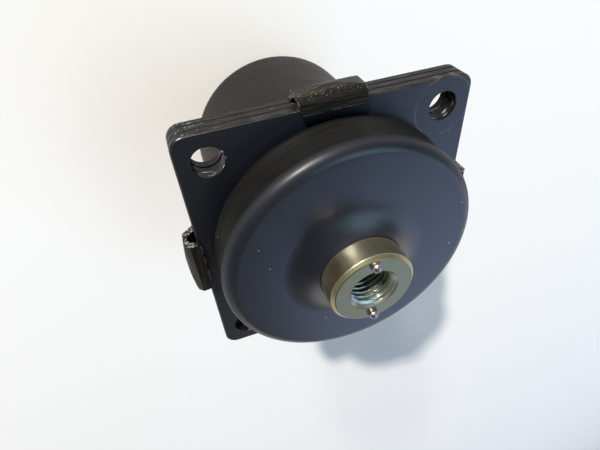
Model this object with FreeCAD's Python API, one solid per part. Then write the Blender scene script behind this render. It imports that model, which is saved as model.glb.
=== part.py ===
import FreeCAD, Part
import os
from math import acos, cos, degrees, radians, sin

os.makedirs("parts", exist_ok=True)

# Hydraulic engine mount, in millimetres. +Z runs along the mount axis towards the threaded boss.
# Z = 0 is the front face of the square flange and X, Y are parallel to its sides.

# --- cup (drawn reservoir housing): its mouth sets the widths of the other parts ---
CUP_TOP_R = 40.0          # outer radius below the flange
CUP_DRAFT = 1.2           # how much the radius falls towards the closed end
CUP_WALL = 2.0
CUP_END_Z = -82.6
CUP_CORNER_R = 9.5        # outer radius of the bottom corner
CUP_BEND_R = 4.5          # draw radius inside the mouth
CUP_OUTER_BEND_R = 2.0
VENT_D = 6.0              # breather hole in the closed end

# --- square flange: three plates laid together ---
FLANGE_MARGIN = 10.0      # from the cup to the middle of a side
CORNER_R = 4.8            # corner radius in plan
BOLT_EDGE = 10.0          # hole centres to the sides
BOLT_HOLE_D = 10.5        # clearance for M10 in the outer plates
MID_HOLE_D = 11.0         # a little wider in the middle plate
TOP_T = 3.2               # spring plate
CARRIER_T = 3.2           # carrier plate
CUP_T = 3.0               # cup plate
EDGE_BREAK = 0.4          # sheared edges, broken

# --- crimp tabs, one in the middle of each side, part of the cup plate ---
TAB_W = 22.0
TAB_T = 2.4
TAB_REACH = 5.4           # how far the arch stands off the flange edge
TAB_BOW = 1.1             # the outline falls back this much at the ends of the arch
TAB_ROOT = 2.0            # how far the tab's own sheet runs into the plate
TAB_CREST_UP = 0.8        # crest above the middle of the stack
TAB_ARCH_IN = 1.4         # both ends of the outer arc lie this far in from the crest
TAB_ARCH_LOW = 3.3        # lower end of the outer arc, above the rear face
TAB_ARCH_HIGH = 1.0       # upper end of the outer arc, above the front face
TAB_LEG_OUT = 2.6         # outer end of the level top of the leg
TAB_LEG_BREAK = 0.6       # broken edge at the tip of the leg
TAB_GAP_TOP = 1.4         # the gap under the arch starts this far out on the front face
TAB_GAP_LOW = 2.0         # and ends this far above the tab's root
TAB_GAP_IN = 0.8
TAB_BITE = 1.5            # how far the leg lies over the front face
TAB_TIP_R = 2.5           # corner radius of the leg in plan

# --- threaded core ---
BOSS_D = 29.5
BOSS_FACE_Z = 33.6
BOSS_CHAMFER = 1.2
THREAD_MINOR_D = 13.84    # M16 x 2, tapped
THREAD_DEPTH = 24.0       # depth of the bore at full diameter
COUNTERSINK_D = 17.4
SHOULDER_R = 29.5         # disc that the cap sits on
SHOULDER_T = 4.5
CONE_TOP_R = 22.0         # cone that the rubber is bonded to
CORE_FOOT_R = 14.0
CORE_FOOT_Z = -12.0

# --- locating pins in the boss face ---
PIN_D = 3.4               # guiding end
PIN_SHANK_D = 3.8         # pressed shank
PIN_SHANK_PROUD = 0.2     # the shank ends this far above the face
PIN_CIRCLE_R = 11.5
PIN_PROUD = 2.4
PIN_DEPTH = 7.0
PIN_DOME = 1.2            # height of the domed end

# --- shield cap ---
CAP_D = 92.0
CAP_T = 2.5
CAP_FACE_Z = 19.7         # flat part of the outer face
CAP_HUB_Z = 24.0          # lip of the raised hub
CAP_HUB_R = 26.0          # where the hub starts to rise
CAP_RIM_R = 4.2           # outer radius of the rolled rim
CAP_SKIRT_Z = 2.2         # rear edge of the skirt, clear of the flange
CAP_HOLE_CLEAR = 0.25     # open ring between the lip and the boss

# --- track carrier (drawn can between the other two plates) ---
CAN_CLEAR = 0.5           # least gap between can and cup
CAN_WALL = 1.8
CAN_BEND_R = 4.5
CAN_CORNER_R = 2.5        # outer corner above the ledge
LEDGE_W = 4.6             # how far the ledge turns in

# --- fluid parts inside the can ---
FIT = 0.2                 # radial clearance of a part slipped into the can
TRACK_TOP_Z = -30.0
TRACK_UPPER_T = 8.0
TRACK_LOWER_T = 5.0
CHANNEL_LAND = 3.9        # rim left outside the inertia channel
CHANNEL_W = 5.0
CHANNEL_H = 5.5
CHANNEL_ARC = 310.0       # degrees that the channel runs
PORT_ARC = 14.0           # degrees of the opening at each end of the channel
DECOUPLER_LAND = 9.0      # from the channel to the decoupler, room for the rivets
DECOUPLER_T = 3.4
DECOUPLER_GAP = 0.4       # play above and below the membrane
GRID_HOLE_D = 6.0
GRID_EDGE = 6.5           # from the outer hole centres to the decoupler's edge
RIVET_D = 3.0
RIVET_HEAD_D = 5.6
RIVET_HEAD_T = 1.2
SEAL_DROP = 4.0           # groove centre below the top of the track
SEAL_W = 2.2              # height of the square ring in the groove
SEAL_DEEP = 2.0           # depth of the groove
SEAL_PLAY = 0.1           # room above and below the ring
BELLOWS_RIM_T = 2.5       # rim of the bellows, gripped under the track
RING_T = 1.5              # steel ring in the bellows rim
RING_INSET = 0.5          # edge of the ring behind the edge of the ledge
BELLOWS_WALL = 1.8
BELLOWS_CLEAR = 1.0       # bellows to the edge of the ledge
BELLOWS_DEPTH = 15.0      # roll of the bellows below the ledge
BELLOWS_RISE = 9.0        # middle of the bellows above its roll
BELLOWS_MIDDLE_R = 12.0
FLANGE_SEAL_T = 1.9       # legs of the corner rings
CUP_SEAL_T = 2.6

# --- rebound stop on the end of the core ---
WASHER_R = 20.0
WASHER_T = 3.0
SCREW_D = 10.0
SCREW_HEAD_AF = 15.0      # across flats
SCREW_HEAD_T = 6.0
SCREW_LENGTH = 9.0        # length in the core

# --- collar of the spring plate ---
COLLAR_WALL = 2.0
COLLAR_BEND_R = 3.0
COLLAR_DRAW_IN = 3.9      # how far the collar narrows at its lower end
COLLAR_BREAK_Z = -12.0    # where it starts to narrow
COLLAR_END_Z = -25.0

# --- worked out from the above ---
HALF = CUP_TOP_R + FLANGE_MARGIN
FLANGE_W = 2 * HALF
BOLT_PITCH = FLANGE_W - 2 * BOLT_EDGE
CARRIER_Z = -TOP_T
CUP_Z = CARRIER_Z - CARRIER_T
REAR_Z = CUP_Z - CUP_T
CAP_UNDER_Z = CAP_FACE_Z - CAP_T
CUP_END_R = CUP_TOP_R - CUP_DRAFT
CUP_TAPER = CUP_DRAFT / (REAR_Z - CUP_END_Z)
TRACK_JOINT_Z = TRACK_TOP_Z - TRACK_UPPER_T
TRACK_UNDER_Z = TRACK_JOINT_Z - TRACK_LOWER_T
LEDGE_Z = TRACK_UNDER_Z - BELLOWS_RIM_T - RING_T
LEDGE_UNDER_Z = LEDGE_Z - CAN_WALL
CAN_R = CUP_TOP_R - CUP_WALL - CUP_TAPER * (REAR_Z - LEDGE_UNDER_Z) - CAN_CLEAR
CAN_IN_R = CAN_R - CAN_WALL
SLIP_R = CAN_IN_R - FIT
LEDGE_R = CAN_IN_R - LEDGE_W
COLLAR_R = SLIP_R
COLLAR_IN_R = COLLAR_R - COLLAR_WALL
COLLAR_END_R = COLLAR_R - COLLAR_DRAW_IN
CHANNEL_OUT_R = SLIP_R - CHANNEL_LAND
CHANNEL_IN_R = CHANNEL_OUT_R - CHANNEL_W
DECOUPLER_R = CHANNEL_IN_R - DECOUPLER_LAND
SEAT_R = DECOUPLER_R + DECOUPLER_GAP
SEAT_H = DECOUPLER_T / 2 + DECOUPLER_GAP
OUTLET_OUT_R = LEDGE_R - BELLOWS_CLEAR - BELLOWS_WALL   # the outlet opens inside the bellows
GRID_CIRCLE_R = DECOUPLER_R - GRID_EDGE
RIVET_CIRCLE_R = (CHANNEL_IN_R + SEAT_R) / 2
SEAL_Z = TRACK_TOP_Z - SEAL_DROP
BLEND_R = CUP_TOP_R - CUP_WALL + CUP_BEND_R + 0.5   # plates are flat outside this radius


def revolve(start, *steps):
    """Solid of revolution about Z. Points are (r, z); a pair of points is an arc through the first."""
    here = FreeCAD.Vector(start[0], 0, start[1])
    first = here
    edges = []
    for step in steps:
        if isinstance(step[0], tuple):
            middle = FreeCAD.Vector(step[0][0], 0, step[0][1])
            end = FreeCAD.Vector(step[1][0], 0, step[1][1])
            edges.append(Part.Arc(here, middle, end).toShape())
        else:
            end = FreeCAD.Vector(step[0], 0, step[1])
            edges.append(Part.makeLine(here, end))
        here = end
    edges.append(Part.makeLine(here, first))
    face = Part.Face(Part.Wire(edges))
    return face.revolve(FreeCAD.Vector(0, 0, 0), FreeCAD.Vector(0, 0, 1), 360)


def round_corner(centre_r, centre_z, radius, from_deg, to_deg):
    """Middle and end point of a circular corner, as a step for revolve."""
    middle = radians((from_deg + to_deg) / 2)
    end = radians(to_deg)
    return (
        (centre_r + radius * cos(middle), centre_z + radius * sin(middle)),
        (centre_r + radius * cos(end), centre_z + radius * sin(end)),
    )


def disc(radius, z_low, z_high, x=0, y=0):
    """Upright cylinder between two heights."""
    return Part.makeCylinder(radius, z_high - z_low, FreeCAD.Vector(x, y, z_low))


def square_plate(z_front, thickness, hole_d):
    """Square plate with rounded corners, broken edges and the four bolt holes."""
    block = Part.makeBox(FLANGE_W, FLANGE_W, thickness, FreeCAD.Vector(-HALF, -HALF, z_front - thickness))
    uprights = [e for e in block.Edges if abs(e.Vertexes[0].Z - e.Vertexes[1].Z) > 1e-6]
    plate = block.makeFillet(CORNER_R, uprights)
    rims = [e for e in plate.Edges if abs(e.Vertexes[0].Z - e.Vertexes[-1].Z) < 1e-6]
    plate = plate.makeChamfer(EDGE_BREAK, rims)
    for x in (-BOLT_PITCH / 2, BOLT_PITCH / 2):
        for y in (-BOLT_PITCH / 2, BOLT_PITCH / 2):
            plate = plate.cut(disc(hole_d / 2, z_front - thickness - 1, z_front + 1, x, y))
    return plate


def with_centre(plate, centre, z_front, thickness):
    """Swap the middle of a plate for a drawn form that carries on at BLEND_R."""
    opened = plate.cut(disc(BLEND_R, z_front - thickness - 1, z_front + 1))
    return opened.fuse(centre).removeSplitter()


def make_threaded_core():
    """Turned steel core: boss, shoulder for the cap and the cone that the rubber grips."""
    boss_r = BOSS_D / 2
    bore_r = THREAD_MINOR_D / 2
    sink = (COUNTERSINK_D - THREAD_MINOR_D) / 2
    bore_end_z = BOSS_FACE_Z - THREAD_DEPTH
    drill_z = bore_end_z - bore_r * 0.6
    core = revolve(
        (0, drill_z),
        (bore_r, bore_end_z),
        (bore_r, BOSS_FACE_Z - sink),
        (bore_r + sink, BOSS_FACE_Z),
        (boss_r - BOSS_CHAMFER, BOSS_FACE_Z),
        (boss_r, BOSS_FACE_Z - BOSS_CHAMFER),
        (boss_r, CAP_UNDER_Z),
        (SHOULDER_R, CAP_UNDER_Z),
        (SHOULDER_R, CAP_UNDER_Z - SHOULDER_T),
        (CONE_TOP_R, CAP_UNDER_Z - SHOULDER_T),
        (CORE_FOOT_R, CORE_FOOT_Z),
        (0, CORE_FOOT_Z),
    )
    for side in (1, -1):
        hole = disc(PIN_SHANK_D / 2, BOSS_FACE_Z - PIN_DEPTH, BOSS_FACE_Z + 1, 0, side * PIN_CIRCLE_R)
        core = core.cut(hole)
    return core.cut(disc(SCREW_D / 2, CORE_FOOT_Z - 1, CORE_FOOT_Z + SCREW_LENGTH))


def make_locating_pin(side):
    """Hardened dowel pressed into the boss face, with a domed end."""
    radius = PIN_D / 2
    shank_r = PIN_SHANK_D / 2
    shank_z = BOSS_FACE_Z + PIN_SHANK_PROUD
    tip_z = BOSS_FACE_Z + PIN_PROUD
    sphere_r = (radius ** 2 + PIN_DOME ** 2) / (2 * PIN_DOME)
    rim_deg = degrees(acos(radius / sphere_r))
    pin = revolve(
        (0, BOSS_FACE_Z - PIN_DEPTH),
        (shank_r, BOSS_FACE_Z - PIN_DEPTH),
        (shank_r, shank_z),
        (radius, shank_z),
        (radius, tip_z - PIN_DOME),
        round_corner(0, tip_z - sphere_r, sphere_r, rim_deg, 90),
    )
    pin.translate(FreeCAD.Vector(0, side * PIN_CIRCLE_R, 0))
    return pin


def make_shield_cap():
    """Pressed cap: hub flared up to the boss, rolled rim and a skirt with a shallow groove."""
    hole_r = BOSS_D / 2 + CAP_HOLE_CLEAR
    outer = CAP_D / 2
    rim_c = outer - CAP_RIM_R
    rim_z = CAP_FACE_Z - CAP_RIM_R
    skirt_in = outer - CAP_T
    groove = 0.7
    rise = CAP_HUB_Z - CAP_FACE_Z
    run = CAP_HUB_R - hole_r
    flare_r = (rise ** 2 + run ** 2) / (2 * rise)
    flare_z = CAP_FACE_Z + flare_r
    lip_deg = 180 + degrees(acos(run / flare_r))
    under_lip_deg = 180 + degrees(acos(run / (flare_r + CAP_T)))
    return revolve(
        (hole_r, CAP_HUB_Z),
        round_corner(CAP_HUB_R, flare_z, flare_r, lip_deg, 270),
        (rim_c, CAP_FACE_Z),
        round_corner(rim_c, rim_z, CAP_RIM_R, 90, 0),
        ((outer - groove, (rim_z + CAP_SKIRT_Z) / 2), (outer, CAP_SKIRT_Z + 1.6)),
        (outer - 0.3, CAP_SKIRT_Z),
        (skirt_in, CAP_SKIRT_Z),
        ((skirt_in - groove, (rim_z + CAP_SKIRT_Z) / 2), (skirt_in, rim_z)),
        round_corner(rim_c, rim_z, CAP_RIM_R - CAP_T, 0, 90),
        (CAP_HUB_R, CAP_UNDER_Z),
        round_corner(CAP_HUB_R, flare_z, flare_r + CAP_T, 270, under_lip_deg),
    )


def make_spring_plate():
    """Front flange plate with the drawn collar that the rubber is bonded into."""
    inner = COLLAR_IN_R
    bend = COLLAR_BEND_R
    centre = revolve(
        (BLEND_R, 0),
        (inner + bend, 0),
        round_corner(inner + bend, -bend, bend, 90, 180),
        (inner, COLLAR_BREAK_Z),
        (COLLAR_END_R - COLLAR_WALL, COLLAR_END_Z),
        (COLLAR_END_R, COLLAR_END_Z),
        (COLLAR_R, COLLAR_BREAK_Z),
        (COLLAR_R, -TOP_T),
        (BLEND_R, -TOP_T),
    )
    return with_centre(square_plate(0, TOP_T, BOLT_HOLE_D), centre, 0, TOP_T)


def make_main_spring():
    """Moulded rubber cone between core and collar, ending in a lip that seals on the track."""
    shoulder_z = CAP_UNDER_Z - SHOULDER_T
    lip_r = SLIP_R
    return revolve(
        (CONE_TOP_R, shoulder_z),
        (SHOULDER_R, shoulder_z),
        ((SHOULDER_R + 1.2, 6.0), (COLLAR_IN_R, -3.0)),
        (COLLAR_IN_R, COLLAR_BREAK_Z),
        (COLLAR_END_R - COLLAR_WALL, COLLAR_END_Z),
        (COLLAR_END_R, COLLAR_END_Z),
        (lip_r, COLLAR_END_Z - 1.5),
        (lip_r, TRACK_TOP_Z),
        (lip_r - 5.0, TRACK_TOP_Z),
        ((WASHER_R + 6.0, -19.5), (WASHER_R + 2.0, CORE_FOOT_Z)),
        (CORE_FOOT_R, CORE_FOOT_Z),
    )


def make_track_carrier():
    """Middle plate, drawn into a can whose ledge holds the fluid parts."""
    bend = CAN_BEND_R
    corner = CAN_CORNER_R
    centre = revolve(
        (BLEND_R, CARRIER_Z),
        (CAN_IN_R + bend, CARRIER_Z),
        round_corner(CAN_IN_R + bend, CARRIER_Z - bend, bend, 90, 180),
        (CAN_IN_R, LEDGE_Z),
        (LEDGE_R, LEDGE_Z),
        (LEDGE_R, LEDGE_UNDER_Z),
        (CAN_R - corner, LEDGE_UNDER_Z),
        round_corner(CAN_R - corner, LEDGE_UNDER_Z + corner, corner, -90, 0),
        (CAN_R, CUP_Z),
        (BLEND_R, CUP_Z),
    )
    return with_centre(square_plate(CARRIER_Z, CARRIER_T, MID_HOLE_D), centre, CARRIER_Z, CARRIER_T)


def make_crimp_tab():
    """Tab on the +Y side: it arches off the plate edge and folds down on the front face."""
    root = HALF - TAB_ROOT
    tip = HALF - TAB_BITE
    reach = HALF + TAB_REACH
    shoulder = reach - TAB_ARCH_IN
    crest_in = reach - TAB_T
    crest_z = (REAR_Z + TAB_T) / 2 + TAB_CREST_UP
    points = [
        (root, REAR_Z), (HALF, REAR_Z), (shoulder, REAR_Z + TAB_ARCH_LOW), (reach, crest_z),
        (shoulder, TAB_ARCH_HIGH), (HALF + TAB_LEG_OUT, TAB_T), (tip + TAB_LEG_BREAK, TAB_T),
        (tip, TAB_T - TAB_LEG_BREAK), (tip, 0), (HALF + TAB_GAP_TOP, 0), (crest_in, crest_z),
        (crest_in - TAB_GAP_IN, CUP_Z + TAB_GAP_LOW), (HALF, CUP_Z), (root, CUP_Z),
    ]
    p = [FreeCAD.Vector(-TAB_W / 2, u, z) for u, z in points]
    edges = [
        Part.makeLine(p[0], p[1]),
        Part.makeLine(p[1], p[2]),
        Part.Arc(p[2], p[3], p[4]).toShape(),
        Part.makeLine(p[4], p[5]),
        Part.makeLine(p[5], p[6]),
        Part.makeLine(p[6], p[7]),
        Part.makeLine(p[7], p[8]),
        Part.makeLine(p[8], p[9]),
        Part.Arc(p[9], p[10], p[11]).toShape(),
        Part.makeLine(p[11], p[12]),
        Part.makeLine(p[12], p[13]),
        Part.makeLine(p[13], p[0]),
    ]
    tab = Part.Face(Part.Wire(edges)).extrude(FreeCAD.Vector(TAB_W, 0, 0))
    for side in (1, -1):
        x = side * (TAB_W / 2 - TAB_TIP_R)
        corner = Part.makeBox(TAB_TIP_R, TAB_TIP_R, TAB_T + 2)
        corner.translate(FreeCAD.Vector(min(x, x + side * TAB_TIP_R), tip, -1))
        corner = corner.cut(disc(TAB_TIP_R, -2, TAB_T + 2, x, tip + TAB_TIP_R))
        tab = tab.cut(corner)
    bow_r = (TAB_W ** 2 / 4 + TAB_BOW ** 2) / (2 * TAB_BOW)
    return tab.common(disc(bow_r, REAR_Z - 1, TAB_T + 1, 0, reach - bow_r))


def make_cup():
    """Rear plate, deep drawn into the reservoir cup, with the four crimp tabs folded from it."""
    mouth_in = CUP_TOP_R - CUP_WALL
    end_in = CUP_END_R - CUP_WALL
    corner = CUP_CORNER_R
    inner_corner = corner - CUP_WALL
    bend = CUP_BEND_R
    outer_bend = CUP_OUTER_BEND_R
    floor_z = CUP_END_Z + CUP_WALL
    centre = revolve(
        (BLEND_R, CUP_Z),
        (mouth_in + bend, CUP_Z),
        round_corner(mouth_in + bend, CUP_Z - bend, bend, 90, 180),
        (end_in, floor_z + inner_corner),
        round_corner(end_in - inner_corner, floor_z + inner_corner, inner_corner, 0, -90),
        (VENT_D / 2, floor_z),
        (VENT_D / 2, CUP_END_Z),
        (CUP_END_R - corner, CUP_END_Z),
        round_corner(CUP_END_R - corner, CUP_END_Z + corner, corner, -90, 0),
        (CUP_TOP_R, REAR_Z - outer_bend),
        round_corner(CUP_TOP_R + outer_bend, REAR_Z - outer_bend, outer_bend, 180, 90),
        (BLEND_R, REAR_Z),
    )
    cup = with_centre(square_plate(CUP_Z, CUP_T, BOLT_HOLE_D), centre, CUP_Z, CUP_T)
    for quarter in range(4):
        tab = make_crimp_tab()
        tab.rotate(FreeCAD.Vector(0, 0, 0), FreeCAD.Vector(0, 0, 1), 90 * quarter)
        cup = cup.fuse(tab)
    return cup.removeSplitter()


def ring_sector(inner, outer, z_low, z_high, start_deg, sweep_deg):
    """Part of a flat ring between two angles."""
    a = FreeCAD.Vector(inner, 0, z_low)
    b = FreeCAD.Vector(outer, 0, z_low)
    c = FreeCAD.Vector(outer, 0, z_high)
    d = FreeCAD.Vector(inner, 0, z_high)
    face = Part.Face(Part.makePolygon([a, b, c, d, a]))
    solid = face.revolve(FreeCAD.Vector(0, 0, 0), FreeCAD.Vector(0, 0, 1), sweep_deg)
    solid.rotate(FreeCAD.Vector(0, 0, 0), FreeCAD.Vector(0, 0, 1), start_deg)
    return solid


def grid_holes(z_low, z_high):
    """The seven holes that let fluid reach the decoupler."""
    holes = [disc(GRID_HOLE_D / 2, z_low, z_high)]
    for i in range(6):
        x = GRID_CIRCLE_R * cos(radians(60 * i))
        y = GRID_CIRCLE_R * sin(radians(60 * i))
        holes.append(disc(GRID_HOLE_D / 2, z_low, z_high, x, y))
    return holes


def rivet_places():
    """Centres of the three rivets that hold the track halves together."""
    angles = [radians(degree) for degree in (30, 150, 270)]
    return [(RIVET_CIRCLE_R * cos(a), RIVET_CIRCLE_R * sin(a)) for a in angles]


def make_track_upper():
    """Upper half of the inertia track: channel, decoupler seat, grid and the seal groove."""
    groove_top = SEAL_Z + SEAL_W / 2 + SEAL_PLAY
    groove_low = SEAL_Z - SEAL_W / 2 - SEAL_PLAY
    body = revolve(
        (0, TRACK_TOP_Z),
        (SLIP_R, TRACK_TOP_Z),
        (SLIP_R, groove_top),
        (SLIP_R - SEAL_DEEP, groove_top),
        (SLIP_R - SEAL_DEEP, groove_low),
        (SLIP_R, groove_low),
        (SLIP_R, TRACK_JOINT_Z),
        (0, TRACK_JOINT_Z),
    )
    inner = CHANNEL_IN_R
    outer = CHANNEL_OUT_R
    channel_top = TRACK_JOINT_Z + CHANNEL_H
    body = body.cut(ring_sector(inner, outer, TRACK_JOINT_Z - 1, channel_top, 0, CHANNEL_ARC))
    body = body.cut(ring_sector(inner, outer, TRACK_JOINT_Z, TRACK_TOP_Z + 1, 0, PORT_ARC))
    body = body.cut(disc(SEAT_R, TRACK_JOINT_Z - 1, TRACK_JOINT_Z + SEAT_H))
    for hole in grid_holes(TRACK_JOINT_Z, TRACK_TOP_Z + 1):
        body = body.cut(hole)
    for x, y in rivet_places():
        body = body.cut(disc(RIVET_D / 2, TRACK_JOINT_Z - 1, TRACK_TOP_Z + 1, x, y))
    return body


def make_track_lower():
    """Lower half of the inertia track: closes the channel and holds the decoupler from below."""
    body = disc(SLIP_R, TRACK_UNDER_Z, TRACK_JOINT_Z)
    start = CHANNEL_ARC - PORT_ARC
    low = TRACK_UNDER_Z - 1
    high = TRACK_JOINT_Z + 1
    body = body.cut(ring_sector(CHANNEL_IN_R, OUTLET_OUT_R, low, high, start, PORT_ARC))
    body = body.cut(disc(SEAT_R, TRACK_JOINT_Z - SEAT_H, high))
    for hole in grid_holes(TRACK_UNDER_Z - 1, TRACK_JOINT_Z):
        body = body.cut(hole)
    for x, y in rivet_places():
        body = body.cut(disc(RIVET_D / 2, TRACK_UNDER_Z - 1, TRACK_JOINT_Z + 1, x, y))
    return body


def make_decoupler():
    """Rubber disc that lies loose in its seat between the two grids."""
    seat_floor = TRACK_JOINT_Z - SEAT_H
    return disc(DECOUPLER_R, seat_floor, seat_floor + DECOUPLER_T)


def make_track_rivet(x, y):
    """Aluminium rivet through both halves, headed at each end."""
    shank = RIVET_D / 2
    head = RIVET_HEAD_D / 2
    rivet = revolve(
        (0, TRACK_UNDER_Z - RIVET_HEAD_T),
        (head * 0.7, TRACK_UNDER_Z - RIVET_HEAD_T),
        (head, TRACK_UNDER_Z),
        (shank, TRACK_UNDER_Z),
        (shank, TRACK_TOP_Z),
        (head, TRACK_TOP_Z),
        (head * 0.7, TRACK_TOP_Z + RIVET_HEAD_T),
        (0, TRACK_TOP_Z + RIVET_HEAD_T),
    )
    rivet.translate(FreeCAD.Vector(x, y, 0))
    return rivet


def make_track_seal():
    """Square-section rubber ring in the rim groove of the upper track half."""
    return revolve(
        (SLIP_R - SEAL_DEEP, SEAL_Z - SEAL_W / 2),
        (CAN_IN_R, SEAL_Z - SEAL_W / 2),
        (CAN_IN_R, SEAL_Z + SEAL_W / 2),
        (SLIP_R - SEAL_DEEP, SEAL_Z + SEAL_W / 2),
    )


def make_bellows_ring():
    """Flat steel ring that stiffens the bellows rim and rests on the ledge."""
    return revolve(
        (LEDGE_R + RING_INSET, LEDGE_Z),
        (SLIP_R, LEDGE_Z),
        (SLIP_R, LEDGE_Z + RING_T),
        (LEDGE_R + RING_INSET, LEDGE_Z + RING_T),
    )


def make_bellows():
    """Thin rubber diaphragm: a rim gripped under the track and one deep roll with a flat middle."""
    rim_z = LEDGE_Z + RING_T
    roll_z = LEDGE_UNDER_Z - BELLOWS_DEPTH
    wall = BELLOWS_WALL
    outer = LEDGE_R - BELLOWS_CLEAR
    middle_r = BELLOWS_MIDDLE_R
    middle_z = roll_z + BELLOWS_RISE
    roll_r = (outer + middle_r) / 2
    return revolve(
        (0, middle_z),
        (middle_r, middle_z),
        ((roll_r, roll_z), (outer, LEDGE_UNDER_Z)),
        (outer, rim_z),
        (SLIP_R, rim_z),
        (SLIP_R, TRACK_UNDER_Z),
        (outer - wall, TRACK_UNDER_Z),
        (outer - wall, LEDGE_UNDER_Z + 1.0),
        ((roll_r, roll_z + wall), (middle_r, middle_z + wall)),
        (0, middle_z + wall),
    )


def make_flange_seal():
    """Rubber ring in the corner between spring plate, collar and carrier."""
    out = COLLAR_R + FLANGE_SEAL_T
    return revolve((COLLAR_R, CARRIER_Z), (out, CARRIER_Z), (COLLAR_R, CARRIER_Z - FLANGE_SEAL_T))


def make_cup_seal():
    """Rubber ring in the corner between carrier plate, can and cup mouth."""
    return revolve((CAN_R, CUP_Z), (CAN_R + CUP_SEAL_T, CUP_Z), (CAN_R, CUP_Z - CUP_SEAL_T))


def make_rebound_washer():
    """Steel disc on the end of the core that stops it pulling through the collar."""
    inner = SCREW_D / 2 + 0.25
    return revolve(
        (inner, CORE_FOOT_Z - WASHER_T),
        (WASHER_R - 0.6, CORE_FOOT_Z - WASHER_T),
        (WASHER_R, CORE_FOOT_Z - WASHER_T + 0.6),
        (WASHER_R, CORE_FOOT_Z),
        (inner, CORE_FOOT_Z),
    )


def make_rebound_screw():
    """M10 hexagon screw that holds the rebound washer to the core."""
    seat_z = CORE_FOOT_Z - WASHER_T
    corner_r = SCREW_HEAD_AF / 2 / cos(radians(30))
    corners = []
    for i in range(7):
        angle = radians(60 * i)
        corners.append(FreeCAD.Vector(corner_r * cos(angle), corner_r * sin(angle), seat_z - SCREW_HEAD_T))
    head = Part.Face(Part.makePolygon(corners)).extrude(FreeCAD.Vector(0, 0, SCREW_HEAD_T))
    shank = disc(SCREW_D / 2, seat_z - 1, CORE_FOOT_Z + SCREW_LENGTH)
    return head.fuse(shank).removeSplitter()


def save(name, shape):
    """One node, one STEP file."""
    shape.exportStep("parts/" + name + ".step")


save("threaded_core", make_threaded_core())
save("locating_pin_1", make_locating_pin(1))
save("locating_pin_2", make_locating_pin(-1))
save("shield_cap", make_shield_cap())
save("spring_plate", make_spring_plate())
save("main_spring", make_main_spring())
save("track_carrier", make_track_carrier())
save("cup", make_cup())
save("track_upper", make_track_upper())
save("track_lower", make_track_lower())
save("decoupler", make_decoupler())
save("track_seal", make_track_seal())
for number, (rivet_x, rivet_y) in enumerate(rivet_places(), 1):
    save("track_rivet_%d" % number, make_track_rivet(rivet_x, rivet_y))
save("bellows", make_bellows())
save("bellows_ring", make_bellows_ring())
save("flange_seal", make_flange_seal())
save("cup_seal", make_cup_seal())
save("rebound_washer", make_rebound_washer())
save("rebound_screw", make_rebound_screw())
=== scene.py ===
import math

import bmesh
import bpy
from mathutils import Matrix, Vector


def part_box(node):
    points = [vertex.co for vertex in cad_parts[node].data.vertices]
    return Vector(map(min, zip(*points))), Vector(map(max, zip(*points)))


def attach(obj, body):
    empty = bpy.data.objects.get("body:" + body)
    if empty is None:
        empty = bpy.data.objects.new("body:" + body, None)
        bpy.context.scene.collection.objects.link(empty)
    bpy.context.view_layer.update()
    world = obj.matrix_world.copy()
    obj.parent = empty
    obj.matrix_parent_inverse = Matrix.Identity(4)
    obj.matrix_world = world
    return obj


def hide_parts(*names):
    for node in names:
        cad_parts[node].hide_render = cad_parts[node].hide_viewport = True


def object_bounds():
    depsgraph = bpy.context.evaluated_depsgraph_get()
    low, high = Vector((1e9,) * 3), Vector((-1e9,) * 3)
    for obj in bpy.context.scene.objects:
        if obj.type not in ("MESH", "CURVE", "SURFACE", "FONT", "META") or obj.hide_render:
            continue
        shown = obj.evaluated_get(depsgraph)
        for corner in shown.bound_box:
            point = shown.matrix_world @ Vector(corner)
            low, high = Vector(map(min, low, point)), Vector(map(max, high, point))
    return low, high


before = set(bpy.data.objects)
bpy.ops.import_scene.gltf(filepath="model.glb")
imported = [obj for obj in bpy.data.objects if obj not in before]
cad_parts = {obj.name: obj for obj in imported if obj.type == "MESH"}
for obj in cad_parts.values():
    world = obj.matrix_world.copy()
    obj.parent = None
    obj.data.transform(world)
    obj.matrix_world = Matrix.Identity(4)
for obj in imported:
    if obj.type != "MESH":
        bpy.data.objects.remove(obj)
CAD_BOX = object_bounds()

MM = 0.001

# ---------------------------------------------------------------------------
# Threaded core. Turned steel, bonded into the rubber: boss with a tapped and
# countersunk bore, shoulder for the cap, and a cone. The thread is cut with a
# tap, and the whole core is zinc plated and yellow passivated.

CORE_LOW, CORE_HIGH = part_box("threaded_core")
BOSS_R = 14.75 * MM
BOSS_FACE_Z = CORE_HIGH.z
BOSS_CHAMFER = 1.2 * MM
THREAD_MINOR_R = 6.92 * MM
THREAD_MAJOR_R = 8.0 * MM
THREAD_PITCH = 2.0 * MM
ROOT_FLAT = 1 / 8           # flat root of the thread, as a share of the pitch
CREST_FLAT = 1 / 4          # flat crest
THREAD_DEPTH = 24.0 * MM
DRILL_TIP = 0.6             # height of the drilled tip over its radius
SINK_R = 8.7 * MM
CAP_LIP_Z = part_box("shield_cap")[1].z
CAP_FACE_Z = 19.7 * MM
CAP_THICK = 2.5 * MM
SHOULDER_TOP_Z = CAP_FACE_Z - CAP_THICK
SHOULDER_THICK = 4.5 * MM
SHOULDER_LOW_Z = SHOULDER_TOP_Z - SHOULDER_THICK
SHOULDER_R = CORE_HIGH.x
CONE_TOP_R = 22.0 * MM
CORE_FOOT_R = 14.0 * MM
CORE_FOOT_Z = CORE_LOW.z
FOOT_HOLE_R = 5.0 * MM
FOOT_HOLE_DEPTH = 15.0 * MM
BROKEN_EDGE = 0.22 * MM     # rounding of the turned edges
LATHE_FEED = 0.23 * MM      # distance between two tool marks
CORE_STEPS = 144            # steps round the core
THREAD_ROWS = 193           # rows down the bore
ROLL_WELD = 0.001 * MM      # closes the sheet that is rolled into the bore wall
BORE_WELD = 0.002 * MM      # joins the bore wall to the turned surfaces
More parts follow.
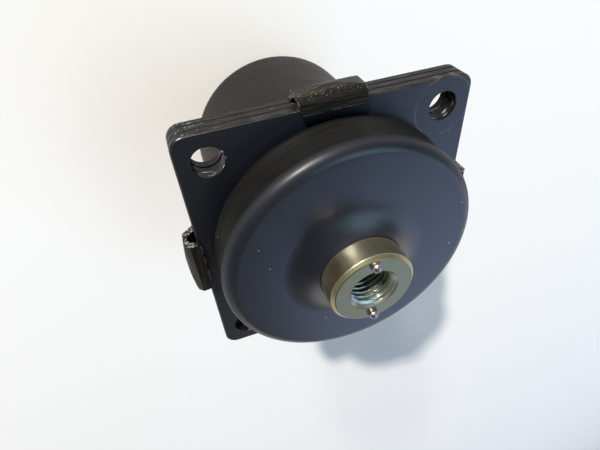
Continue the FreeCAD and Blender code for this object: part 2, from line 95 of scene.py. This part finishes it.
SLIVER = 0.0005 * MM        # edges shorter than this are taken out
CREASE = math.radians(38)   # corners sharper than this stay sharp

PLATING_GREEN = (0.215, 0.215, 0.140, 1)
PLATING_GOLD = (0.25, 0.215, 0.110, 1)
BOSS_SIDE_BROWN = (0.22, 0.18, 0.12, 1)
BOSS_SIDE_STRAW = (0.34, 0.32, 0.24, 1)
CHAMFER_AMBER = (0.48, 0.34, 0.12, 1)
CHAMFER_OLIVE = (0.46, 0.46, 0.27, 1)
BORE_GREY = (0.44, 0.48, 0.43, 1)
STAIN_BROWN = (0.22, 0.15, 0.07, 1)
# dark of the nicks, and of the painted shade at the boss's foot
NICK_AND_SHADE_DARK = (0.02, 0.017, 0.012, 1)


class Wire:
    """A socket of a node tree, used in sums. It also makes every other node."""

    def __init__(self, tree, socket=None):
        self.tree = tree
        self.socket = socket

    def node(self, kind, out=0, settings=None, inputs=None):
        """Make a node, set it up, feed it and return one of its outputs."""
        made = self.tree.nodes.new(kind)
        for key, value in (settings or {}).items():
            setattr(made, key, value)
        for key, value in (inputs or {}).items():
            if isinstance(value, Wire):
                self.tree.links.new(value.socket, made.inputs[key])
            else:
                made.inputs[key].default_value = value
        return Wire(self.tree, made.outputs[out] if made.outputs else None)

    def math(self, operation, first, second=0.0):
        """Math node on one or two values."""
        return self.node("ShaderNodeMath", 0, {"operation": operation}, {0: first, 1: second})

    def __add__(self, other):
        return self.math("ADD", self, other)

    __radd__ = __add__

    def __mul__(self, other):
        return self.math("MULTIPLY", self, other)

    __rmul__ = __mul__

    def __sub__(self, other):
        return self.math("SUBTRACT", self, other)

    def __rsub__(self, other):
        return self.math("SUBTRACT", other, self)

    def __truediv__(self, other):
        return self.math("DIVIDE", self, other)

    def __abs__(self):
        return self.math("ABSOLUTE", self)

    def root(self):
        return self.math("SQRT", self)

    def larger(self, other):
        return self.math("MAXIMUM", self, other)

    def smaller(self, other):
        return self.math("MINIMUM", self, other)

    def part(self, axis):
        """X, Y or Z of a vector."""
        return self.node("ShaderNodeSeparateXYZ", axis, None, {0: self})

    def parts(self):
        """X, Y and Z of a vector."""
        return self.part(0), self.part(1), self.part(2)

    def vector(self, x, y, z):
        """Vector from three values."""
        return self.node("ShaderNodeCombineXYZ", 0, None, {0: x, 1: y, 2: z})

    def fade(self, low, high):
        """Smooth step from 0 at low to 1 at high."""
        settings = {"interpolation_type": "SMOOTHSTEP"}
        return self.node("ShaderNodeMapRange", 0, settings, {0: self, 1: low, 2: high})

    def colours(self, first, second):
        """Blend of two colours by this value."""
        inputs = {0: self, 6: first, 7: second}
        return self.node("ShaderNodeMix", 2, {"data_type": "RGBA"}, inputs)

    def noise(self, scale, detail=3.0, seed=0.0):
        """Noise around 0.5 on this vector, with its scale per metre."""
        inputs = {"Vector": self, "Scale": scale, "Detail": detail, "W": seed}
        return self.node("ShaderNodeTexNoise", 0, {"noise_dimensions": "4D"}, inputs)

    def bump(self, depth, below=None):
        """Normal from this height, one unit of it being depth metres."""
        inputs = {"Distance": depth, "Height": self}
        if below:
            inputs["Normal"] = below
        return self.node("ShaderNodeBump", 0, None, inputs)


def begin(name):
    """New empty material, and a wire on its Object coordinates."""
    material = bpy.data.materials.new(name)
    material.use_nodes = True
    material.node_tree.nodes.clear()
    return material, Wire(material.node_tree).node("ShaderNodeTexCoord", "Object")


def surface(place, inputs):
    """Principled shader from its inputs, sent to the material's output."""
    shader = place.node("ShaderNodeBsdfPrincipled", 0, None, inputs)
    place.node("ShaderNodeOutputMaterial", 0, None, {"Surface": shader})


def yellow_zinc():
    """Plating mottled on the face and run down the boss, with dark nicks and stains, and painted
    shade round the foot of the boss where it leaves the cap.
    """
    material, place = begin("yellow_zinc")
    x, y, z = place.parts()
    out = (x * x + y * y).root()
    on_side = out.fade(BOSS_R - 0.3 * MM, BOSS_R - 0.05 * MM)
    in_bore = 1 - out.fade(SINK_R - 0.3 * MM, SINK_R)
    chamfer_r = BOSS_R - BOSS_CHAMFER
    on_chamfer = out.fade(chamfer_r, chamfer_r + 0.15 * MM) * (1 - on_side)

    tint = place.noise(95.0, 3.0, 1.0)
    mottle = place.noise(260.0, 4.0, 4.0)
    face = (0.55 * tint + 0.45 * mottle).fade(0.40, 0.60).colours(PLATING_GREEN, PLATING_GOLD)
    runs = place.vector(x, y, z * 0.10).noise(170.0, 3.0, 6.0)
    side = runs.fade(0.38, 0.62).colours(BOSS_SIDE_BROWN, BOSS_SIDE_STRAW)
    colour = on_side.colours(face, side)
    turning = place.noise(60.0, 1.0, 12.0).fade(0.42, 0.58)
    band = turning.colours(CHAMFER_AMBER, CHAMFER_OLIVE)
    colour = (on_chamfer * 0.85).colours(colour, band)
    colour = (in_bore * 0.85).colours(colour, BORE_GREY)
    stain = place.noise(420.0, 2.0, 9.0).fade(0.64, 0.74) * (1 - in_bore)
    colour = (stain * 0.6).colours(colour, STAIN_BROWN)
    nick = place.noise(900.0, 1.0, 7.0).fade(0.73, 0.77) * (1 - in_bore)
    # Painted shade: the boss side is darkened in a narrow band just above the cap's lip, where
    # the gap round the boss lies in shade.
    foot_shade = on_side * (1 - z.fade(CAP_LIP_Z + 0.6 * MM, CAP_LIP_Z + 0.9 * MM))
    dark = nick.larger(foot_shade)

    cut = out + z
    tool_marks = place.math("SINE", cut * (2 * math.pi / LATHE_FEED))
    wander = place.vector(x * 0.08, y * 0.08, cut).noise(4200.0, 2.0, 2.0)
    height = (0.2 * tool_marks + wander) * (1 - in_bore) + nick
    surface(place, {
        "Base Color": dark.colours(colour, NICK_AND_SHADE_DARK),
        "Metallic": 0.95 - 0.6 * dark,
        "Roughness": 0.25 + 0.16 * mottle + 0.25 * dark,
        "Normal": height.bump(0.006 * MM),
    })
    return material


def softened(profile, reach, arc_steps=4):
    """Profile with each inner corner rounded, and a point held just outside each rounding."""
    hold = 1.5 * reach
    soft = [profile[0]]
    for before, corner, after in zip(profile, profile[1:], profile[2:]):
        before, corner, after = Vector(before), Vector(corner), Vector(after)
        back = (before - corner).normalized()
        on = (after - corner).normalized()
        soft.append(corner + back * hold)
        for step in range(arc_steps + 1):
            t = step / arc_steps
            soft.append(corner + back * reach * (1 - t) ** 2 + on * reach * t ** 2)
        soft.append(corner + on * hold)
    soft.append(profile[-1])
    return [tuple(point) for point in soft]


def turned(mesh, profile, steps):
    """Add the surface swept by a profile of (radius, height) about the axis, from -X round."""
    rings = []
    for radius, height in profile:
        ring = []
        for step in range(steps):
            angle = 2 * math.pi * step / steps - math.pi
            spot = (radius * math.cos(angle), radius * math.sin(angle), height)
            ring.append(mesh.verts.new(spot))
        rings.append(ring)
    for low, high in zip(rings, rings[1:]):
        for step in range(steps):
            after = (step + 1) % steps
            mesh.faces.new((low[step], low[after], high[after], high[step]))


def bore_tree(material):
    """Bore wall: a sheet rolled into a tube whose radius follows thread and countersink."""
    tree = bpy.data.node_groups.new("tapped_bore", "GeometryNodeTree")
    sizes = {
        "Minor Radius": THREAD_MINOR_R,
        "Major Radius": THREAD_MAJOR_R,
        "Pitch": THREAD_PITCH,
        "Face Height": BOSS_FACE_Z,
        "Depth": THREAD_DEPTH,
        "Sink Radius": SINK_R,
    }
    for name in sizes:
        tree.interface.new_socket(name, in_out="INPUT", socket_type="NodeSocketFloat")
    tree.interface.new_socket("Geometry", in_out="OUTPUT", socket_type="NodeSocketGeometry")
    root = Wire(tree)
    size = {name: root.node("NodeGroupInput", name) for name in sizes}

    # On the sheet, X runs once round the bore and Y from its bottom up to the face.
    grid = {"Size X": 1.0, "Size Y": 1.0, "Vertices X": CORE_STEPS + 1, "Vertices Y": THREAD_ROWS}
    sheet = root.node("GeometryNodeMeshGrid", 0, None, grid)
    spot = root.node("GeometryNodeInputPosition")
    turn = spot.part(0)
    below_face = size["Depth"] * (0.5 - spot.part(1))
    height = size["Face Height"] - below_face

    # The cut is full on the flat root, nothing on the flat crest, and runs out
    # over the last turn. The countersink takes over near the face.
    phase = root.math("FRACT", height / size["Pitch"] - turn)
    from_root = abs(phase - 0.5) * 2.0
    flank = {0: from_root, 1: ROOT_FLAT, 2: 1 - CREST_FLAT, 3: 1.0, 4: 0.0}
    cut = root.node("ShaderNodeMapRange", 0, None, flank)
    run_out = ((size["Depth"] - below_face) / size["Pitch"]).smaller(1.0)
    thread = size["Minor Radius"] + (size["Major Radius"] - size["Minor Radius"]) * cut * run_out
    radius = thread.larger(size["Sink Radius"] - below_face)
    angle = turn * (2 * math.pi)
    x = radius * root.math("COSINE", angle)
    y = radius * root.math("SINE", angle)
    rolled = {"Geometry": sheet, "Position": root.vector(x, y, height)}
    tube = root.node("GeometryNodeSetPosition", 0, None, rolled)
    weld = {"Geometry": tube, "Distance": ROLL_WELD}
    tube = root.node("GeometryNodeMergeByDistance", 0, None, weld)
    tube = root.node("GeometryNodeFlipFaces", 0, None, {"Mesh": tube})
    tube = root.node("GeometryNodeRealizeInstances", 0, None, {"Geometry": tube})
    tube = root.node("GeometryNodeSetMaterial", 0, None, {"Geometry": tube, "Material": material})
    root.node("NodeGroupOutput", 0, None, {"Geometry": tube})
    return tree, sizes


def grown(name, tree, sizes):
    """Plain mesh that a tree makes from its named sizes."""
    host = bpy.data.objects.new(name, bpy.data.meshes.new(name))
    bpy.context.scene.collection.objects.link(host)
    grow = host.modifiers.new("grow", "NODES")
    grow.node_group = tree
    for item in tree.interface.items_tree:
        if item.in_out == "INPUT":
            grow[item.identifier] = sizes[item.name]
    finished = host.evaluated_get(bpy.context.evaluated_depsgraph_get())
    result = bpy.data.meshes.new_from_object(finished)
    bpy.data.objects.remove(host)
    return result


def make_core():
    """Core with its thread, one closed surface."""
    material = yellow_zinc()
    bore_end_z = BOSS_FACE_Z - THREAD_DEPTH
    foot_hole_end_z = CORE_FOOT_Z + FOOT_HOLE_DEPTH
    outside = softened([
        (SINK_R, BOSS_FACE_Z),
        (BOSS_R - BOSS_CHAMFER, BOSS_FACE_Z),
        (BOSS_R, BOSS_FACE_Z - BOSS_CHAMFER),
        (BOSS_R, SHOULDER_TOP_Z),
        (SHOULDER_R, SHOULDER_TOP_Z),
        (SHOULDER_R, SHOULDER_LOW_Z),
        (CONE_TOP_R, SHOULDER_LOW_Z),
        (CORE_FOOT_R, CORE_FOOT_Z),
        (FOOT_HOLE_R, CORE_FOOT_Z),
        (FOOT_HOLE_R, foot_hole_end_z),
        (0.0, foot_hole_end_z),
    ], BROKEN_EDGE)
    drill_tip = [(0.0, bore_end_z - DRILL_TIP * THREAD_MINOR_R), (THREAD_MINOR_R, bore_end_z)]
    tree, sizes = bore_tree(material)
    mesh = bmesh.new()
    mesh.from_mesh(grown("bore_wall", tree, sizes))
    turned(mesh, outside[::-1], CORE_STEPS)
    turned(mesh, drill_tip[::-1], CORE_STEPS)
    bmesh.ops.remove_doubles(mesh, verts=mesh.verts, dist=BORE_WELD)
    bmesh.ops.dissolve_degenerate(mesh, edges=mesh.edges, dist=SLIVER)
    bmesh.ops.recalc_face_normals(mesh, faces=mesh.faces)
    data = bpy.data.meshes.new("core_with_thread")
    mesh.to_mesh(data)
    mesh.free()
    data.shade_smooth()
    data.set_sharp_from_angle(angle=CREASE)
    data.materials.clear()
    data.materials.append(material)
    core = bpy.data.objects.new("core_with_thread", data)
    bpy.context.scene.collection.objects.link(core)
    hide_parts("threaded_core")
    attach(core, "root")


make_core()


# ---------------------------------------------------------------------------
# Locating pins. Two ground dowels with domed ends, pressed into the boss face
# on either side of the thread, bright and slightly marked at the tip.

PIN_BRIGHT = (0.36, 0.35, 0.33, 1)
PIN_STAIN = (0.13, 0.12, 0.10, 1)


def dress(material, *names):
    """Put a finish on each named CAD node."""
    for name in names:
        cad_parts[name].data.materials[0] = material


def ground_steel():
    """Bright steel with fine rings from grinding."""
    material, place = begin("ground_steel")
    rings = place.vector(0.0, 0.0, place.part(2)).noise(9000.0, 2.0, 1.0)
    stain = place.noise(1100.0, 2.0, 3.0).fade(0.52, 0.72)
    surface(place, {
        "Base Color": stain.colours(PIN_BRIGHT, PIN_STAIN),
        "Metallic": 1.0,
        "Roughness": 0.34 + 0.22 * stain,
        "Normal": rings.bump(0.003 * MM),
    })
    return material


dress(ground_steel(), "locating_pin_1", "locating_pin_2")


# ---------------------------------------------------------------------------
# Rubber parts. The load carrying spring is moulded onto the core and collar;
# the decoupler, the seals and the rolling bellows are separate mouldings.

RUBBER_BLACK = (0.010, 0.010, 0.011, 1)
RUBBER_BLOOM = (0.038, 0.037, 0.035, 1)


def moulded_rubber():
    """Matt black rubber with a grey bloom and the grain of the mould."""
    material, place = begin("moulded_rubber")
    bloom = place.noise(120.0, 4.0, 2.0).fade(0.35, 0.75)
    grain = place.noise(1500.0, 3.0, 6.0)
    surface(place, {
        "Base Color": bloom.colours(RUBBER_BLACK, RUBBER_BLOOM),
        "Roughness": 0.60 + 0.22 * bloom,
        "Normal": (grain + 0.6 * bloom).bump(0.03 * MM),
    })
    return material


dress(moulded_rubber(),
      "main_spring", "decoupler", "track_seal", "bellows", "flange_seal", "cup_seal")


# ---------------------------------------------------------------------------
# Spring plate. The front one of three punched steel plates, drawn into the
# collar that grips the rubber. The stack is dipped in satin black after it is
# crimped, so punched edges and hole walls stay rough under a thin coat.

PLATE_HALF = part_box("spring_plate")[1].x
MIDDLE_THICK = 3.2 * MM
FRONT_JOINT_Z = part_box("track_carrier")[1].z
REAR_JOINT_Z = FRONT_JOINT_Z - MIDDLE_THICK
HOLE_R = 5.25 * MM
HOLE_TO_EDGE = 10.0 * MM
HOLE_PLACE = PLATE_HALF - HOLE_TO_EDGE
WASHER_R = 10.0 * MM        # the washer that has marked the front plate
CHIPPED_CORNER = (-47.0 * MM, 49.0 * MM)
COAT_GLOSS = 0.15
COAT_ROUGHNESS = 0.32       # of the coat's skin

COAT_BLACK = (0.0050, 0.0068, 0.0125, 1)
COAT_HAZE = (0.0080, 0.0100, 0.0155, 1)
DUST_GRAIN = (0.34, 0.34, 0.32, 1)
PIT_BLACK = (0.001, 0.001, 0.001, 1)
EDGE_BLACK = (0.0045, 0.0045, 0.0045, 1)
EDGE_STREAK = (0.024, 0.023, 0.019, 1)
# painted glint on the sheared edges
EDGE_GLINT = (0.26, 0.25, 0.21, 1)
# painted shade in the seams between the plates
JOINT_SHADE_BLACK = (0.002, 0.002, 0.002, 1)
CHIPPED_STEEL = (0.17, 0.165, 0.15, 1)
# painted shade in the hole walls
HOLE_SHADE_BLACK = (0.002, 0.002, 0.002, 1)
HOLE_STREAK = (0.020, 0.019, 0.016, 1)
# painted highlight on the ridges in the hole walls
HOLE_RIDGE_HIGHLIGHT = (0.30, 0.32, 0.36, 1)
WASHER_MARK = (0.040, 0.042, 0.048, 1)


class Coat:
    """Satin black dip coat: its colour, roughness and height, for a finish to add to."""

    def __init__(self, place, seed):
        self.place = place
        haze = place.noise(38.0, 4.0, seed)
        dull = place.noise(170.0, 3.0, seed + 4.0).fade(0.55, 0.8)
        self.colour = haze.fade(0.3, 0.7).colours(COAT_BLACK, COAT_HAZE)
        self.roughness = 0.30 + 0.12 * haze + 0.08 * dull
        self.height = 0.35 * place.noise(1300.0, 2.0, seed + 2.0)
        self.waves = place.noise(24.0, 1.0, seed + 9.0).bump(0.22 * MM)

    def lay(self, mask, colour, roughness=0.0):
        """Change colour, and add roughness, where mask is 1."""
        self.colour = mask.colours(self.colour, colour)
        self.roughness = self.roughness + roughness * mask

    def dust(self, seed, amount=0.0):
        """A few pale grains that stuck in the coat, and fewer dark pits."""
        grain = self.place.noise(640.0, 0.0, seed).fade(0.865 - amount, 0.885 - amount)
        self.lay(grain, DUST_GRAIN, 0.3)
        pit = self.place.noise(480.0, 0.0, seed + 5.0).fade(0.86, 0.88)
        self.lay(pit, PIT_BLACK)
        self.height = self.height - 2.0 * pit

    def finish(self, varnish=0.0):
        """Send the coat to the material, with a glossier skin where varnish is 1."""
        surface(self.place, {
            "Base Color": self.colour,
            "Roughness": self.roughness,
            "Specular IOR Level": COAT_GLOSS,
            "Coat Weight": varnish,
            "Coat Roughness": COAT_ROUGHNESS,
            "Normal": self.height.bump(0.012 * MM, self.waves),
        })


def punched(coat, seed):
    """Lay streaks and painted glints on sheared edges, painted shade in the seams between the
    plates, and rings in the hole walls under painted shade, with painted highlights on their
    ridges.

    Returns the distance from the centre of the nearest hole.
    """
    place = coat.place
    x, y, z = place.parts()

    out = abs(x).larger(abs(y))
    edge = out.fade(PLATE_HALF - 0.55 * MM, PLATE_HALF - 0.3 * MM)
    edge = edge * (1 - out.fade(PLATE_HALF + 0.1 * MM, PLATE_HALF + 0.2 * MM))
    streak = place.vector((x + y) * 0.07, 0.0, z).noise(2300.0, 3.0, seed)
    grain = place.vector((x + y) * 0.5, 0.0, z).noise(1500.0, 3.0, seed + 1.0)
    coat.lay(edge, streak.fade(0.42, 0.64).colours(EDGE_BLACK, EDGE_STREAK), 0.14)
    # Painted glints: pale specks on the sheared edges, where they would catch the light.
    coat.lay((grain * streak).fade(0.38, 0.44) * edge, EDGE_GLINT)
    to_joint = abs(z - FRONT_JOINT_Z).smaller(abs(z - REAR_JOINT_Z))
    # Painted shade: the edges are darkened along the two seams between the plates.
    coat.lay(edge * (1 - to_joint.fade(0.20 * MM, 0.55 * MM)), JOINT_SHADE_BLACK, 0.2)

    aside = x - CHIPPED_CORNER[0]
    up = y - CHIPPED_CORNER[1]
    corner = 1 - (aside * aside + up * up).root().fade(3 * MM, 14 * MM)
    chip = (place.noise(1250.0, 2.0, 61.0) + 0.08 * corner).fade(0.68, 0.74) * corner
    coat.lay(chip * edge, CHIPPED_STEEL, 0.1)

    across = abs(x) - HOLE_PLACE
    along = abs(y) - HOLE_PLACE
    from_hole = (across * across + along * along).root()
    wall = 1 - from_hole.fade(HOLE_R + 0.35 * MM, HOLE_R + 0.5 * MM)
    rings = place.vector(x * 0.12, y * 0.12, z).noise(1700.0, 2.0, seed + 3.0)
    # Painted shade: the hole walls are darker than the coat; the streaks in them are the real
    # marks of punching.
    coat.lay(wall, rings.fade(0.44, 0.62).colours(HOLE_SHADE_BLACK, HOLE_STREAK))
    # Painted highlights: pale bluish lines on some ridges of the hole walls.
    ridge_highlight = rings.fade(0.56, 0.62) * place.noise(330.0, 1.0, 63.0).fade(0.50, 0.60)
    coat.lay(wall * ridge_highlight, HOLE_RIDGE_HIGHLIGHT)
    coat.height = coat.height + edge * (1.2 * streak + 0.6 * grain) + wall * 2.5 * rings
    return from_hole


def spring_plate_finish():
    """Front plate: a faint ring round one hole where a washer has sat."""
    material, place = begin("coat_on_spring_plate")
    coat = Coat(place, 2.0)
    from_hole = punched(coat, 11.0)
    ring = from_hole.fade(WASHER_R, WASHER_R + 0.3 * MM)
    ring = ring * (1 - from_hole.fade(WASHER_R + 0.5 * MM, WASHER_R + 1.0 * MM))
    broken = place.noise(150.0, 2.0, 13.0).fade(0.36, 0.56)
    one_hole = place.part(0).fade(0.0, 1 * MM) * place.part(1).fade(0.0, 1 * MM)
    coat.lay(ring * broken * one_hole, WASHER_MARK, 0.1)
    coat.dust(31.0, 0.01)
    coat.finish(place.part(2).fade(-0.3 * MM, -0.05 * MM))
    return material


dress(spring_plate_finish(), "spring_plate")


# ---------------------------------------------------------------------------
# Inertia track. Two cast aluminium discs with a ring channel between them,
# faced where they meet and held by three drawn aluminium rivets.

CAST_LIGHT = (0.60, 0.60, 0.61, 1)
CAST_DARK = (0.40, 0.40, 0.41, 1)
RIVET_LIGHT = (0.68, 0.68, 0.69, 1)
RIVET_DARK = (0.52, 0.52, 0.53, 1)


def metal(name, light, dark, roughness, grain, depth):
    """Bare metal, mottled between two tones."""
    material, place = begin(name)
    mottle = place.noise(grain, 4.0, 1.0)
    surface(place, {
        "Base Color": mottle.fade(0.3, 0.7).colours(dark, light),
        "Metallic": 1.0,
        "Roughness": roughness + 0.18 * mottle,
        "Normal": mottle.bump(depth),
    })
    return material


dress(metal("cast_aluminium", CAST_LIGHT, CAST_DARK, 0.38, 700.0, 0.04 * MM),
      "track_upper", "track_lower")
dress(metal("drawn_aluminium", RIVET_LIGHT, RIVET_DARK, 0.26, 1500.0, 0.006 * MM),
      "track_rivet_1", "track_rivet_2", "track_rivet_3")


# ---------------------------------------------------------------------------
# Plain steel inside. The ring that clamps the bellows and the washer that
# limits rebound are blanked and oiled; the screw under the core is zinc plated.

OILED_LIGHT = (0.38, 0.37, 0.36, 1)
OILED_DARK = (0.22, 0.21, 0.20, 1)
ZINC_LIGHT = (0.60, 0.61, 0.64, 1)
ZINC_DARK = (0.45, 0.46, 0.49, 1)

dress(metal("oiled_steel", OILED_LIGHT, OILED_DARK, 0.32, 420.0, 0.010 * MM),
      "bellows_ring", "rebound_washer")
dress(metal("zinc_on_screw", ZINC_LIGHT, ZINC_DARK, 0.26, 900.0, 0.006 * MM),
      "rebound_screw")


# ---------------------------------------------------------------------------
# Track carrier. The middle plate, drawn into the can that holds the track.
# Only its punched edge and hole walls show.

def track_carrier_finish():
    """Middle plate under the same dip coat."""
    material, place = begin("coat_on_track_carrier")
    coat = Coat(place, 5.0)
    punched(coat, 21.0)
    coat.finish()
    return material


dress(track_carrier_finish(), "track_carrier")


# ---------------------------------------------------------------------------
# Cup. The rear plate, deep drawn into the reservoir, with the four tabs that
# are folded over the stack. Drawing leaves long faint lines down the wall, and
# folding leaves cracked grains in the coat along the bends.

REAR_THICK = 3.0 * MM
STACK_REAR_Z = REAR_JOINT_Z - REAR_THICK
TAB_START = PLATE_HALF + 0.15 * MM
TAB_HALF = 11.0 * MM
LEG_BITE = 1.5 * MM         # how far a tab's leg lies over the front plate
LEG_TIP = PLATE_HALF - LEG_BITE
LEG_TOP_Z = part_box("cup")[1].z

WALL_BLACK = (0.004, 0.0038, 0.0034, 1)
WALL_OLIVE = (0.0100, 0.0088, 0.0064, 1)
TAB_BLACK = (0.0060, 0.0058, 0.0050, 1)
FOLD_STREAK = (0.019, 0.017, 0.011, 1)
CRACKED_COAT = (0.34, 0.30, 0.24, 1)
NICKED_END = (0.16, 0.155, 0.15, 1)
# painted highlight along the lip of each tab's leg
LEG_LIP_HIGHLIGHT = (0.11, 0.125, 0.16, 1)


def cup_finish():
    """Rear plate, drawn wall and folded tabs."""
    material, place = begin("coat_on_cup")
    coat = Coat(place, 8.0)
    x, y, z = place.parts()

    wall = 1 - z.fade(STACK_REAR_Z - 0.5 * MM, STACK_REAR_Z)
    drawn = place.vector(x, y, z * 0.06).noise(420.0, 3.0, 41.0)
    cloud = place.noise(34.0, 3.0, 42.0)
    coat.lay(wall, WALL_BLACK, 0.08)
    coat.lay(wall * cloud.fade(0.42, 0.66), WALL_OLIVE, 0.10)
    coat.height = coat.height + 0.25 * wall * drawn
    punched(coat, 23.0)

    out = abs(x).larger(abs(y))
    along = abs(x).smaller(abs(y))
    tab = out.fade(TAB_START, TAB_START + 0.2 * MM).larger(z.fade(0.02 * MM, 0.1 * MM))
    fold = place.vector((x + y) * 0.06, 0.0, z + out).noise(1500.0, 3.0, 43.0)
    coat.lay(tab, TAB_BLACK)
    coat.lay(tab * fold.fade(0.44, 0.62), FOLD_STREAK, 0.14)
    bend = z.fade(-5.0 * MM, -2.5 * MM) * (1 - z.fade(0.6 * MM, 2.0 * MM))
    patch = place.noise(110.0, 2.0, 45.0).fade(0.42, 0.56)
    crack = place.noise(2300.0, 2.0, 47.0).fade(0.62, 0.68)
    coat.lay(tab * bend * patch * crack, CRACKED_COAT, 0.1)
    end = along.fade(TAB_HALF - 0.15 * MM, TAB_HALF - 0.05 * MM)
    nicked = place.noise(900.0, 2.0, 49.0).fade(0.50, 0.60)
    coat.lay(tab * end * nicked, NICKED_END)
    # Painted highlight: a broken pale bluish line along the inner edge of each tab's leg.
    lip_highlight = 1 - out.fade(LEG_TIP + 0.6 * MM, LEG_TIP + 0.75 * MM)
    lip_highlight = lip_highlight * z.fade(LEG_TOP_Z - 0.6 * MM, LEG_TOP_Z - 0.5 * MM)
    coat.lay(lip_highlight * place.noise(300.0, 2.0, 53.0).fade(0.35, 0.55), LEG_LIP_HIGHLIGHT)
    coat.height = coat.height + tab * (3.0 * fold + 1.5 * crack * bend)
    coat.dust(33.0)
    coat.finish()
    return material


dress(cup_finish(), "cup")


# ---------------------------------------------------------------------------
# Shield cap. Pressed from sheet, flared up to the boss and rolled over at the
# rim, then coated on its own. The press leaves fine rings round the skirt.

CAP_RIM_R = 4.2 * MM
SKIRT_TOP_Z = CAP_FACE_Z - CAP_RIM_R

SKIRT_BLACK = (0.0035, 0.0035, 0.0036, 1)
SKIRT_RING = (0.008, 0.008, 0.007, 1)


def cap_finish():
    """Glossier coat on the face, press rings on the skirt and a few grains of dust."""
    material, place = begin("coat_on_cap")
    coat = Coat(place, 14.0)
    x, y, z = place.parts()
    skirt = 1 - z.fade(SKIRT_TOP_Z, SKIRT_TOP_Z + 2.5 * MM)
    face = z.fade(CAP_FACE_Z - 1.1 * MM, CAP_FACE_Z - 0.1 * MM)
    coat.roughness = coat.roughness + 0.06 + 0.10 * (1 - face)
    rings = place.vector(x * 0.03, y * 0.03, z).noise(1900.0, 3.0, 51.0)
    coat.lay(skirt, SKIRT_BLACK)
    coat.lay(skirt * rings.fade(0.50, 0.68), SKIRT_RING, 0.08)
    coat.height = coat.height + 0.7 * skirt * rings
    coat.dust(35.0)
    coat.finish((0.3 + 0.7 * face) * (1 - skirt))
    return material


dress(cap_finish(), "shield_cap")


# ---------------------------------------------------------------------------
# Table top. A large matt white sheet, which the mount stands on with the flat
# end of its cup. It isn't part of the mount.

TABLE_SIDE = 3.6
TABLE_WHITE = (0.928, 0.917, 0.897, 1)
TABLE_PALE = (0.943, 0.932, 0.912, 1)


def add_table():
    """Square sheet at the level of the cup's end."""
    half = TABLE_SIDE / 2
    level = CAD_BOX[0].z
    corners = [(x * half, y * half, level) for x, y in ((-1, -1), (1, -1), (1, 1), (-1, 1))]
    data = bpy.data.meshes.new("table_top")
    data.from_pydata(corners, [], [(0, 1, 2, 3)])
    table = bpy.data.objects.new("table_top", data)
    bpy.context.scene.collection.objects.link(table)
    material, place = begin("white_table")
    surface(place, {
        "Base Color": place.noise(9.0, 2.0, 1.0).colours(TABLE_WHITE, TABLE_PALE),
        "Roughness": 0.9,
        "Specular IOR Level": 0.0,
    })
    data.materials.append(material)


add_table()


# ---------------------------------------------------------------------------
# Studio. Two small warm lamps stand low beyond the +Y side and throw the shadow
# along the table. Two cool windows, one before the cap on the -Y side and one
# high up, show in the black coat. The camera looks down past the boss.

CAMERA_AT = Vector((-45.3, 110.3, 113.6)) * MM
CAMERA_RIGHT = Vector((0.9424, -0.0676, 0.3277))
CAMERA_UP = Vector((0.2663, 0.7445, -0.6122))
CAMERA_LENS = 26.05

WALL_PALE = (0.90, 0.90, 0.90, 1)
CEILING_DIM = (0.13, 0.105, 0.08, 1)
CEILING_FROM = 0.20         # sine of the height at which the wall starts to darken
CEILING_TO = 0.36

LAMP_WARM = (1.0, 0.96, 0.90)
WINDOW_BLUE = (0.44, 0.61, 1.0)
WINDOW_SKY = (0.46, 0.78, 1.0)


def add_camera():
    """Camera from its place and two of its axes."""
    data = bpy.data.cameras.new("camera")
    data.lens = CAMERA_LENS
    data.sensor_width = 36.0
    data.clip_start = 0.01
    data.clip_end = 50.0
    camera = bpy.data.objects.new("camera", data)
    right = CAMERA_RIGHT.normalized()
    back = right.cross(CAMERA_UP).normalized()
    turn = Matrix((right, back.cross(right), back)).transposed()
    camera.matrix_world = Matrix.Translation(CAMERA_AT) @ turn.to_4x4()
    bpy.context.scene.collection.objects.link(camera)
    bpy.context.scene.camera = camera


def add_lamp(name, direction, distance, width, height, colour, watts):
    """Rectangular soft light that faces the mount from one direction."""
    data = bpy.data.lights.new(name, "AREA")
    data.shape = "RECTANGLE"
    data.size = width
    data.size_y = height
    data.color = colour
    data.energy = watts
    lamp = bpy.data.objects.new(name, data)
    place = Vector(direction).normalized() * distance
    lamp.location = place
    lamp.rotation_mode = "QUATERNION"
    lamp.rotation_quaternion = place.to_track_quat("Z", "Y")
    bpy.context.scene.collection.objects.link(lamp)


def add_room():
    """Pale walls low down that fade into a dim ceiling."""
    world = bpy.data.worlds.new("room")
    bpy.context.scene.world = world
    world.use_nodes = True
    world.node_tree.nodes.clear()
    up = Wire(world.node_tree).node("ShaderNodeTexCoord", "Generated").part(2)
    colour = up.fade(CEILING_FROM, CEILING_TO).colours(WALL_PALE, CEILING_DIM)
    light = up.node("ShaderNodeBackground", 0, None, {"Color": colour, "Strength": 1.0})
    up.node("ShaderNodeOutputWorld", 0, None, {"Surface": light})


bpy.context.scene.view_settings.view_transform = "Standard"
add_camera()
add_room()
# Each lamp has its direction, distance, width, height, colour and watts.
add_lamp("key_lamp", (-0.35, 0.86, 0.37), 4.0, 0.18, 0.16, LAMP_WARM, 254.0)
add_lamp("low_lamp", (-0.234, 0.947, 0.216), 4.0, 0.40, 0.25, LAMP_WARM, 62.0)
add_lamp("front_window", (0.53, -0.62, 0.57), 1.5, 1.5, 0.8, WINDOW_BLUE, 5.7)
add_lamp("high_window", (0.40, 0.09, 0.91), 1.5, 0.95, 0.75, WINDOW_SKY, 5.4)
